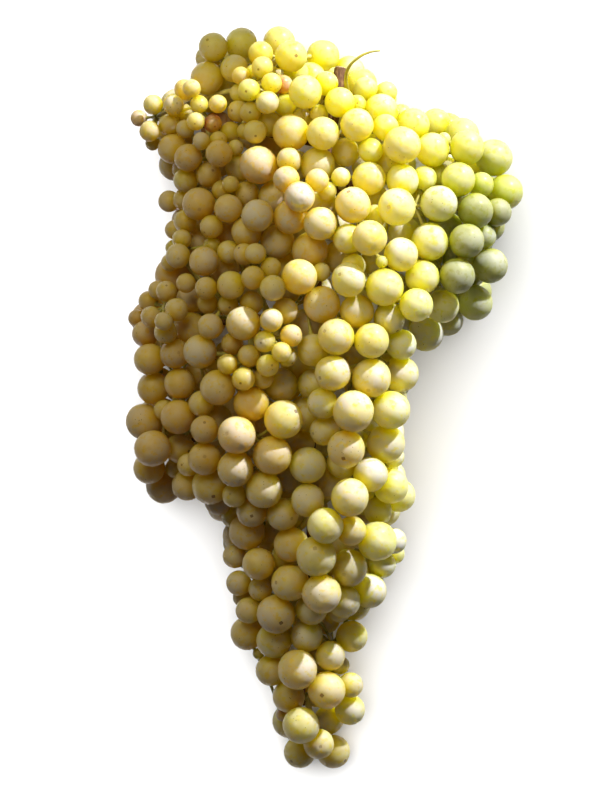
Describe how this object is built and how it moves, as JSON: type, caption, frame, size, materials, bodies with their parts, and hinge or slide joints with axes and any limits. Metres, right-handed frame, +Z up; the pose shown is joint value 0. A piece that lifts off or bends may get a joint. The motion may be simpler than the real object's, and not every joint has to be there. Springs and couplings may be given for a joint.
{
  "type": "bunch of grapes",
  "caption": "Long winged bunch of white wine grapes laid down: small round berries on pedicels, sprigs and a woody axis, with a thin dry tendril at the cut stem.",
  "frame": {"origin": "centre of the bunch's outline, seen from above, at the surface that it lies on", "axes": "+Y from the tail of the bunch to its cut stem, +Z up through the thickness of the laid bunch, +X towards its wing"},
  "size_m": [0.156, 0.2976, 0.0812],
  "materials": {
    "berries": "thin waxy grape skin, satin, with a pale bloom",
    "wood": "dry brown stem bark, matte",
    "green_stem": "dry yellow-green tendril, satin"
  },
  "bodies": {
    "root": {"rachis": "wood", "sprig_column_low": "berries", "sprig_column_mid": "berries", "sprig_column_top": "berries", "sprig_crown_left": "berries", "sprig_crown_right": "berries", "sprig_crown_shot": "berries", "sprig_crown_small": "berries", "sprig_heart_left": "berries", "sprig_heart_low": "berries", "sprig_heart_mid": "berries", "sprig_heart_top": "berries", "sprig_left_inner": "berries", "sprig_left_low": "berries", "sprig_left_low_outer": "berries", "sprig_left_mid": "berries", "sprig_left_mid_inner": "berries", "sprig_left_mid_outer": "berries", "sprig_left_outer": "berries", "sprig_left_tip": "berries", "sprig_left_upper": "berries", "sprig_lower_left": "berries", "sprig_lower_mid": "berries", "sprig_lower_right": "berries", "sprig_middle_left": "berries", "sprig_middle_low": "berries", "sprig_middle_right": "berries", "sprig_neck_left": "berries", "sprig_neck_right": "berries", "sprig_neck_top": "berries", "sprig_right_shoulder": "berries", "sprig_rosette": "berries", "sprig_rosette_low": "berries", "sprig_shoulder_low": "berries", "sprig_shoulder_mid": "berries", "sprig_shoulder_tip": "berries", "sprig_shoulder_top": "berries", "sprig_tail_left": "berries", "sprig_tail_low": "berries", "sprig_tail_right": "berries", "sprig_tail_tip": "berries", "sprig_under_column": "berries", "sprig_under_column_low": "berries", "sprig_under_crown": "berries", "sprig_under_heart": "berries", "sprig_under_heart_top": "berries", "sprig_under_left_low": "berries", "sprig_under_left_tip": "berries", "sprig_under_middle": "berries", "sprig_under_neck": "berries", "sprig_under_rosette": "berries", "sprig_under_shoulder": "berries", "sprig_under_upper_left": "berries", "sprig_under_wing": "berries", "sprig_under_wing_low": "berries", "sprig_wing_low": "berries", "sprig_wing_root": "berries", "sprig_wing_tip": "berries", "sprig_wing_top": "berries", "tendril": "green_stem"}
  },
  "joints": []
}
